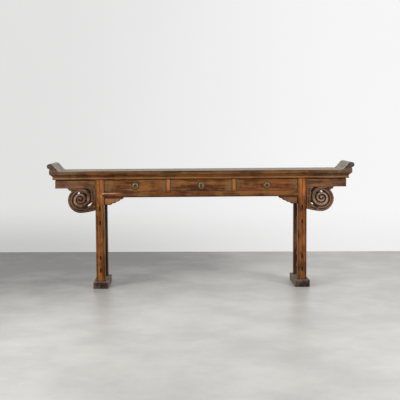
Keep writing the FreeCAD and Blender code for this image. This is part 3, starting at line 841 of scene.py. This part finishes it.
# The spiral brackets: u outwards from the leg, z up, as shares of the reach and the height

CUSP_REACH_SHARE = 219 / 212
FOOT_RISE_SHARE = 20 / 192
FOOT_BULGE = -0.05
LOW_SHARE = 0.53
CUSP_SHARES = ((0.905, 0.095), (0.965, 0.075))
CUSP_BULGE = 0.28
QUARTER = 90
HALF_QUARTER = 45
GROOVE_START_SHARE = 0.535
GROOVE_RISE_SHARE = 4 / 192
GROOVE_RADIUS_SHARES = (0.403, 0.419, 0.301, 0.323, 0.226, 0.237, 0.161, 0.150, 0.097, 0.086, 0.065)
SLOT_SPANS = ((3.72, 4.80, 0), (1.25, 1.78, 0.05))
BACK_SLOT_SPANS = SLOT_SPANS + ((3.24, 3.46, -0.01),)
SLOT_WIDTH_SHARE = 13 / 192
POCKET_SPAN = (0.24, 0.68, 0.02)


def scroll_outline(reach, bottom, top):
    """Silhouette of a spiral bracket."""
    height = top - bottom
    low_u = LOW_SHARE * reach
    side_radius = reach - low_u
    side_z = bottom + side_radius
    top_radius = top - side_z
    shoulder = complex(reach - top_radius, side_z) + cmath.rect(top_radius, math.radians(HALF_QUARTER))
    (first_u, first_z), (second_u, second_z) = CUSP_SHARES
    return traced([
        (0, top, 0),
        (0, bottom + FOOT_RISE_SHARE * height, FOOT_BULGE),
        (low_u, bottom, -math.tan(math.radians(QUARTER) / 4)),
        (reach, side_z, -math.tan(math.radians(HALF_QUARTER) / 4)),
        (shoulder.real, shoulder.imag, 0),
        (first_u * reach, top - first_z * height, -CUSP_BULGE),
        (second_u * reach, top - second_z * height, CUSP_BULGE),
        (CUSP_REACH_SHARE * reach, top, 0),
    ])


def spiral(reach, bottom, top, first, last, outward_share=0):
    """Line along the groove between two places, counted in quarter turns from its start."""
    height = top - bottom
    radii = [share * height for share in GROOVE_RADIUS_SHARES]
    centres = [complex(GROOVE_START_SHARE * reach, top + GROOVE_RISE_SHARE * height - radii[0])]
    for index, (radius, following) in enumerate(zip(radii, radii[1:])):
        centres.append(centres[-1] + cmath.rect(radius - following, math.radians(QUARTER * (index + 2))))
    line = []
    for place in np.linspace(first, last, 1 + math.ceil((last - first) * TURN_STEPS)):
        index = min(int(place), len(radii) - 1)
        radius = radii[index] + outward_share * height
        line.append(centres[index] + cmath.rect(radius, math.radians(QUARTER * (place + 1))))
    return line


def scroll_mesh(carving, reach, bottom, top, half, slot_spans):
    """Points and quads of one bracket: u outwards, y across its thickness, z up."""
    height = top - bottom
    outline = scroll_outline(reach, bottom, top)
    groove = spiral(reach, bottom, top, 0, len(GROOVE_RADIUS_SHARES))
    slots = [spiral(reach, bottom, top, *span) for span in slot_spans]
    pocket = spiral(reach, bottom, top, *POCKET_SPAN)

    def depth(spots):
        inward = depth_inside(outline, spots)
        for slot in slots:
            inward = np.minimum(inward, distance_to(slot, spots) - SLOT_WIDTH_SHARE * height / 2)
        return inward

    def thickness(spots):
        from_groove = distance_to(groove, spots) - carving.groove_width / 2
        from_pocket = distance_to(pocket, spots) - carving.pocket_width / 2
        nearest = np.minimum(np.minimum(depth(spots), from_groove), from_pocket)
        board = beaded(nearest, half, carving.web_thickness / 2, carving.bead_width, carving.hollow_depth)
        return np.where(from_pocket < 0, np.minimum(board, carving.pocket_web / 2), board)

    return carved(depth, thickness, carving.step, CUSP_REACH_SHARE * reach, bottom, top, half)


# The small brackets inside the legs: v inwards from the leg, z up

BRACKET_FOOT_SHARE = 0.19
BRACKET_STEP_SHARES = ((0.42, 0.84), (0.62, 0.63), (0.82, 0.35), (1.00, 0.09))
BRACKET_RISER_SHARE = 0.07
BRACKET_LOBE_BULGE = -0.28
BRACKET_WEB_SHARE = 0.6
BRACKET_BEAD_SHARE = 0.7
BRACKET_HOLLOW_SHARE = 0.8


def bracket_outline(reach, bottom, top):
    """Silhouette of a small stepped bracket."""
    drop = top - bottom
    points = [(0, top, 0), (0, bottom, 0), (BRACKET_FOOT_SHARE * reach, bottom, BRACKET_LOBE_BULGE)]
    for share_v, share_z in BRACKET_STEP_SHARES:
        z = top - share_z * drop
        points.append((share_v * reach, z, 0))
        points.append((share_v * reach, z + BRACKET_RISER_SHARE * drop, BRACKET_LOBE_BULGE))
    points[-1] = (share_v * reach, top, 0)
    return traced(points)


def bracket_mesh(carving, reach, bottom, top, half):
    """Points and quads of one small bracket with a bead along its stepped edge."""
    outline = bracket_outline(reach, bottom, top)

    def depth(spots):
        return depth_inside(outline, spots)

    def thickness(spots):
        return beaded(depth(spots), half, half * BRACKET_WEB_SHARE, carving.bead_width * BRACKET_BEAD_SHARE,
                      carving.hollow_depth * BRACKET_HOLLOW_SHARE)

    return carved(depth, thickness, carving.step, reach, bottom, top, half)


def place_carving(name, mesh, start_x, outward, middle_y, material):
    """Sets a carved mesh against its leg, mirrored where outward is -1."""
    points, quads = mesh
    placed = np.array(points)
    placed[:, X] = start_x + outward * points[:, X]
    placed[:, Y] = middle_y + points[:, Y]
    low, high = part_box(name)
    placed = np.clip(placed, low, high)
    faces = quads if outward > 0 else quads[:, ::-1]
    new_piece("carved_" + name, placed.tolist(), faces.tolist(), material, "frame", name)


# Brass plates

PLATE_TURN_STEPS = 96
PLATE_RING_STEPS = 44
PLATE_FLUTES = 12

# As shares of the plate's radius
RIM_MIDDLE = 0.91
RIM_HALF = 0.085
FIELD_START = 0.34
FIELD_WIDTH = 0.46
FIELD_END = 0.93
BOSS_RADIUS = 0.27

# As shares of the plate's thickness
RIM_RISE = 0.98
FIELD_RISE = 0.36
FLUTE_RISE = 0.14
BOSS_RISE = 0.66
LEAST_RISE = 0.2


def plate_height(radius, angle, outer, depth):
    """How far a plate stands off the drawer: a rolled rim, a fluted field and a low boss."""
    share = radius / outer
    rim = RIM_RISE * math.sqrt(max(0, 1 - ((share - RIM_MIDDLE) / RIM_HALF) ** 2))
    swell = math.sin(math.pi * min(1, max(0, (share - FIELD_START) / FIELD_WIDTH))) ** 2
    field = FIELD_RISE + FLUTE_RISE * swell * (0.5 + 0.5 * math.cos(angle * PLATE_FLUTES))
    boss = BOSS_RISE * math.sqrt(max(0, 1 - (share / BOSS_RADIUS) ** 2))
    return depth * max(rim, field if share < FIELD_END else 0, boss, LEAST_RISE)


def plate_mesh(centre_x, centre_z, face_y, outer, depth, hole):
    """Points and faces of a round plate that lies on a drawer front."""
    radii = [hole + (outer - hole) * step / PLATE_RING_STEPS for step in range(PLATE_RING_STEPS + 1)]
    rings = [(hole, True), *((radius, False) for radius in radii), (outer, True)]
    points = []
    for radius, flat in rings:
        for step in range(PLATE_TURN_STEPS):
            angle = 2 * math.pi * step / PLATE_TURN_STEPS
            rise = 0 if flat else plate_height(radius, angle, outer, depth)
            points.append((centre_x + radius * math.cos(angle), face_y - rise,
                           centre_z + radius * math.sin(angle)))
    faces = []
    for row, step in itertools.product(range(len(rings)), range(PLATE_TURN_STEPS)):
        first = row * PLATE_TURN_STEPS
        following = (row + 1) % len(rings) * PLATE_TURN_STEPS
        beside = (step + 1) % PLATE_TURN_STEPS
        faces.append((first + step, following + step, following + beside, first + beside))
    return points, faces


# Operators

class DressBoards:
    """Gives the boards of one group their wood, with the grain along each, and soft edges."""

    bl_options = {"REGISTER", "UNDO"}
    kind = ""
    boards = {}

    def material(self, context, name, grain):
        return wood(context, self.kind, grain)

    def execute(self, context):
        for name, grain in self.boards.items():
            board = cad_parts[name]
            coat(board, self.material(context, name, grain))
            softened(board, context.scene.altar_finish.edge_round)
        return {"FINISHED"}


class ALTAR_OT_top(DressBoards, bpy.types.Operator):
    """Finish the moulded top with its everted ends"""

    bl_idname = "altar.top"
    bl_label = "Top"
    kind = "top"
    boards = {"top_rail_front": X, "top_rail_back": X, "top_panel": X, "top_battens": Y,
              "flange_left": Y, "flange_right": Y}


class ALTAR_OT_legs(DressBoards, bpy.types.Operator):
    """Finish the four legs"""

    bl_idname = "altar.legs"
    bl_label = "Legs"
    kind = "leg"
    boards = {f"leg_{end}_{side}": Z for end in ENDS for side in SIDES}


class ALTAR_OT_feet(DressBoards, bpy.types.Operator):
    """Finish the two feet that carry the legs"""

    bl_idname = "altar.feet"
    bl_label = "Feet"
    kind = "foot"
    boards = {f"shoe_{side}": Y for side in SIDES}


class ALTAR_OT_end_rails(DressBoards, bpy.types.Operator):
    """Finish the short rails and thin boards between the legs"""

    bl_idname = "altar.end_rails"
    bl_label = "End rails"
    kind = "rail"
    boards = {f"{part}_{side}": Y for side in SIDES for part in ("end_rails", "end_panels")}

    def material(self, context, name, grain):
        return tenon_wood(context) if "rails" in name else wood(context, self.kind, grain)


class ALTAR_OT_case_rails(DressBoards, bpy.types.Operator):
    """Finish the long rails under the drawers and the board behind them"""

    bl_idname = "altar.case_rails"
    bl_label = "Long rails"
    kind = "rail"
    boards = {"lower_rail_front": X, "lower_rail_back": X, "back_board": X, "case_ends": Y}


class ALTAR_OT_stiles(DressBoards, bpy.types.Operator):
    """Finish the uprights between the drawers"""

    bl_idname = "altar.stiles"
    bl_label = "Uprights"
    kind = "stile"
    boards = {f"stile_{side}": Z for side in SIDES}


class ALTAR_OT_inside(DressBoards, bpy.types.Operator):
    """Finish the boards inside the case and the drawer boxes"""

    bl_idname = "altar.inside"
    bl_label = "Inside boards"
    kind = "inside"
    boards = {"case_partitions": Y, "drawer_runners": Y}
    boards.update({f"drawer_{drawer}_{part}": grain for drawer in DRAWERS
                   for part, grain in (("sides", Y), ("back", X), ("bottom", X))})


class ALTAR_OT_drawer_fronts(DressBoards, bpy.types.Operator):
    """Finish the drawer fronts"""

    bl_idname = "altar.drawer_fronts"
    bl_label = "Drawer fronts"
    kind = "front"
    boards = {f"drawer_{drawer}_front": X for drawer in DRAWERS}


class ALTAR_OT_aprons(DressBoards, bpy.types.Operator):
    """Finish the boards under the top beyond the legs"""

    bl_idname = "altar.aprons"
    bl_label = "Aprons"
    kind = "apron"
    boards = {f"apron_{end}_{side}": X for end in ENDS for side in SIDES}
    boards.update({f"apron_end_{side}": Y for side in SIDES})


class CarveBrackets:
    """Carves a front and a back bracket and sets each in its two places."""

    bl_options = {"REGISTER", "UNDO"}
    node = ""
    kind = ""
    outwards = 1

    def shape(self, carving, reach, bottom, top, half, end):
        raise NotImplementedError

    def execute(self, context):
        low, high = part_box(f"{self.node}_front_right")
        half = (high.y - low.y) / 2
        material = wood(context, self.kind, X)
        for end in ENDS:
            mesh = self.shape(context.scene.altar_carving, high.x - low.x, low.z, high.z, half, end)
            for side in SIDES:
                name = f"{self.node}_{end}_{side}"
                near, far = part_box(name)
                outward = (1 if side == "right" else -1) * self.outwards
                start = near.x if outward > 0 else far.x
                place_carving(name, mesh, start, outward, (near.y + far.y) / 2, material)
        return {"FINISHED"}


class ALTAR_OT_scrolls(CarveBrackets, bpy.types.Operator):
    """Carve the openwork spiral brackets outside the legs"""

    bl_idname = "altar.scrolls"
    bl_label = "Spiral brackets"
    node = "scroll"
    kind = "scroll"

    def shape(self, carving, reach, bottom, top, half, end):
        spans = BACK_SLOT_SPANS if end == "back" else SLOT_SPANS
        return scroll_mesh(carving, reach / CUSP_REACH_SHARE, bottom, top, half, spans)


class ALTAR_OT_brackets(CarveBrackets, bpy.types.Operator):
    """Carve the small stepped brackets inside the legs"""

    bl_idname = "altar.brackets"
    bl_label = "Small brackets"
    node = "spandrel"
    kind = "bracket"
    outwards = -1

    def shape(self, carving, reach, bottom, top, half, end):
        return bracket_mesh(carving, reach, bottom, top, half)


class ALTAR_OT_fittings(bpy.types.Operator):
    """Make the brass plates and finish the pins and rings"""

    bl_idname = "altar.fittings"
    bl_label = "Brass pulls"
    bl_options = {"REGISTER", "UNDO"}

    hole: length("Hole", "Radius of the hole for the pin", 0.0021)

    def execute(self, context):
        for drawer in DRAWERS:
            low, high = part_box(f"drawer_{drawer}_plate")
            middle = (low + high) / 2
            points, faces = plate_mesh(middle.x, middle.z, high.y, (high.x - low.x) / 2,
                                       high.y - low.y, self.hole)
            new_piece(f"chased_plate_{drawer}", points, faces, brass(context, "plate"),
                      f"drawer_{drawer}", f"drawer_{drawer}_plate")
            for part in ("pin", "ring"):
                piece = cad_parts[f"drawer_{drawer}_{part}"]
                coat(piece, brass(context, part))
        return {"FINISHED"}


# The stage

CAMERA_PLACE = (-0.139, -7.093, 1.259)
CAMERA_TILT, CAMERA_ROLL, CAMERA_TURN = (math.radians(angle) for angle in (85.253, -0.366, -1.069))
CAMERA_LENS = 80.96
FLOOR_REACH = 30.0
WALL_REACH = 8.0
WALL_HEIGHT = 5.0
WALL_TURN = -2.5
LAMP_WIDTH = 1.3

# Each lamp's name, place and share of the power
LAMPS = (("lamp_right", (3.6, -3.4, 3.0), 0.85), ("lamp_left", (-3.8, -3.2, 2.8), 1.0))
SKY_LEVEL = 0.45
BACKGROUND_LEVEL = 0.93


def stage_plane(name, corners, material):
    mesh = bpy.data.meshes.new(name)
    mesh.from_pydata(corners, [], [(0, 1, 2, 3)])
    mesh.materials.append(material)
    plane = bpy.data.objects.new(name, mesh)
    bpy.context.scene.collection.objects.link(plane)


# The floor's painted shade: its slant, where it begins and is full, and where it lightens to the right
FLOOR_SLANT = 0.57
FLOOR_DARK = (-1.2, 1.6)
FLOOR_LIGHTENS = (-0.5, 1.0)
FLOOR_SHADE = 0.3


def floor_material(tone):
    """Pale smooth floor, a little cloudy, with painted shade towards the wall and the left."""
    material = bpy.data.materials.new("pale_floor")
    shader = Shader(material)
    spot = shader.place()
    cloud = shader.noise(spot, 1.9, detail=8, roughness=0.62)
    across, away, _ = shader.parts(spot)
    dim = (away - across * FLOOR_SLANT).band(*FLOOR_DARK) * (0.88 - across.band(*FLOOR_LIGHTENS) * 0.74)
    shade = tuple(value * FLOOR_SHADE for value in tone)
    base = shader.mix(cloud.band(0.32, 0.68) * 0.26 + dim, tone, shade)
    shader.surface({"Base Color": base, "Roughness": cloud * 0.1 + 0.32, "Specular IOR Level": 0.35})
    return material


def seen_directly(shader):
    """1 for what the camera sees itself, in a reflection or through glass, else 0."""
    rays = ("Is Camera Ray", "Is Glossy Ray", "Is Transmission Ray")
    camera, glossy, through = (shader.add("ShaderNodeLightPath", output=ray) for ray in rays)
    return (camera + glossy + through).maths("MINIMUM", 1.0)


# Where the wall brightens, to the right and upwards
WALL_LIT_SIDE = (-1.9, 1.9)
WALL_LIT_HEIGHT = (0.0, 0.5)


def wall_material(stage):
    """Pale wall, brighter to the right, that is seen from its front only and never hides the table."""
    material = bpy.data.materials.new("pale_wall")
    shader = Shader(material)
    spot = shader.place()
    across, _, height = shader.parts(spot)
    plaster = shader.noise(spot, 0.9, detail=5)
    rightwards = across.band(*WALL_LIT_SIDE)
    upwards = height.band(*WALL_LIT_HEIGHT)
    lit = rightwards * 0.82 + upwards * (0.55 - rightwards * 0.37) + (plaster - 0.5) * 0.08
    paint = shader.add("ShaderNodeBsdfDiffuse", None, {"Color": tuple(stage.wall)})
    shade = shader.add("ShaderNodeEmission", None, {"Color": tuple(stage.wall_shade)})
    bright = shader.add("ShaderNodeEmission", None, {"Color": tuple(stage.wall_bright)})
    glow = shader.add("ShaderNodeMixShader", None, {0: lit, 1: shade, 2: bright})
    front = shader.add("ShaderNodeMixShader", None, {0: seen_directly(shader), 1: paint, 2: glow})
    behind = shader.add("ShaderNodeNewGeometry", output="Backfacing")
    clear = shader.add("ShaderNodeBsdfTransparent")
    both = shader.add("ShaderNodeMixShader", None, {0: behind, 1: front, 2: clear})
    shader.add("ShaderNodeOutputMaterial", None, {"Surface": both})
    return material


class ALTAR_OT_stage(bpy.types.Operator):
    """Set up the floor, wall, lamps and camera"""

    bl_idname = "altar.stage"
    bl_label = "Stage"
    bl_options = {"REGISTER", "UNDO"}

    def execute(self, context):
        stage = context.scene.altar_stage
        far = stage.wall_distance
        around = ((-1, -1), (1, -1), (1, 1), (-1, 1))
        stage_plane("floor", [(x * FLOOR_REACH, y * FLOOR_REACH, 0) for x, y in around],
                    floor_material(tuple(stage.floor)))
        lean = WALL_REACH * math.tan(math.radians(WALL_TURN))
        stage_plane("wall", [(x * WALL_REACH, far + x * lean, max(z, 0) * WALL_HEIGHT) for x, z in around],
                    wall_material(stage))
        self.add_sky(context)
        for name, place, share in LAMPS:
            self.add_lamp(context, name, Vector(place), stage.lamp_power * share)
        self.add_camera(context)
        context.scene.view_settings.view_transform = "Standard"
        return {"FINISHED"}

    def add_sky(self, context):
        world = bpy.data.worlds.new("pale_room")
        context.scene.world = world
        shader = Shader(world)
        level = seen_directly(shader) * (BACKGROUND_LEVEL - SKY_LEVEL) + SKY_LEVEL
        light = shader.add("ShaderNodeBackground", None, {"Color": (1, 1, 1), "Strength": level})
        shader.add("ShaderNodeOutputWorld", None, {"Surface": light})

    def add_lamp(self, context, name, place, power):
        data = bpy.data.lights.new(name, "AREA")
        data.shape = "SQUARE"
        data.size = LAMP_WIDTH
        data.energy = power
        lamp = bpy.data.objects.new(name, data)
        lamp.location = place
        aim = (cad_box[0] + cad_box[1]) / 2 - place
        lamp.rotation_euler = aim.to_track_quat("-Z", "Y").to_euler()
        lamp.visible_camera = False
        context.scene.collection.objects.link(lamp)

    def add_camera(self, context):
        data = bpy.data.cameras.new("camera")
        data.lens = CAMERA_LENS
        camera = bpy.data.objects.new("camera", data)
        camera.location = CAMERA_PLACE
        turned = Euler((CAMERA_TILT, 0, CAMERA_TURN)).to_quaternion()
        facing = turned @ Euler((0, 0, CAMERA_ROLL)).to_quaternion()
        camera.rotation_euler = facing.to_euler()
        context.scene.collection.objects.link(camera)
        context.scene.camera = camera


# Panel and registration

OPERATORS = (ALTAR_OT_top, ALTAR_OT_legs, ALTAR_OT_feet, ALTAR_OT_end_rails, ALTAR_OT_case_rails,
             ALTAR_OT_stiles, ALTAR_OT_inside, ALTAR_OT_drawer_fronts, ALTAR_OT_aprons,
             ALTAR_OT_scrolls, ALTAR_OT_brackets, ALTAR_OT_fittings, ALTAR_OT_stage)
GROUPS = {"altar_wood": AltarWoodColours, "altar_finish": AltarFinish, "altar_carving": AltarCarving,
          "altar_stage": AltarStage}


class ALTAR_PT_panel(bpy.types.Panel):
    """Lists the table's groups of pieces"""

    bl_idname = "ALTAR_PT_panel"
    bl_label = "Altar table"
    bl_space_type = "VIEW_3D"
    bl_region_type = "UI"
    bl_category = "Altar table"

    def draw(self, context):
        for operator in OPERATORS:
            self.layout.operator(operator.bl_idname)
        for group, kind in GROUPS.items():
            box = self.layout.box()
            for name in kind.__annotations__:
                box.prop(getattr(context.scene, group), name)


CLASSES = (*GROUPS.values(), *OPERATORS, ALTAR_PT_panel)


def register():
    for kind in CLASSES:
        bpy.utils.register_class(kind)
    for group, kind in GROUPS.items():
        setattr(bpy.types.Scene, group, PointerProperty(type=kind))


def unregister():
    for group in GROUPS:
        delattr(bpy.types.Scene, group)
    for kind in reversed(CLASSES):
        bpy.utils.unregister_class(kind)


def main():
    register()
    for operator in OPERATORS:
        getattr(bpy.ops.altar, operator.bl_idname.split(".")[1])()


if __name__ == "__main__":
    main()
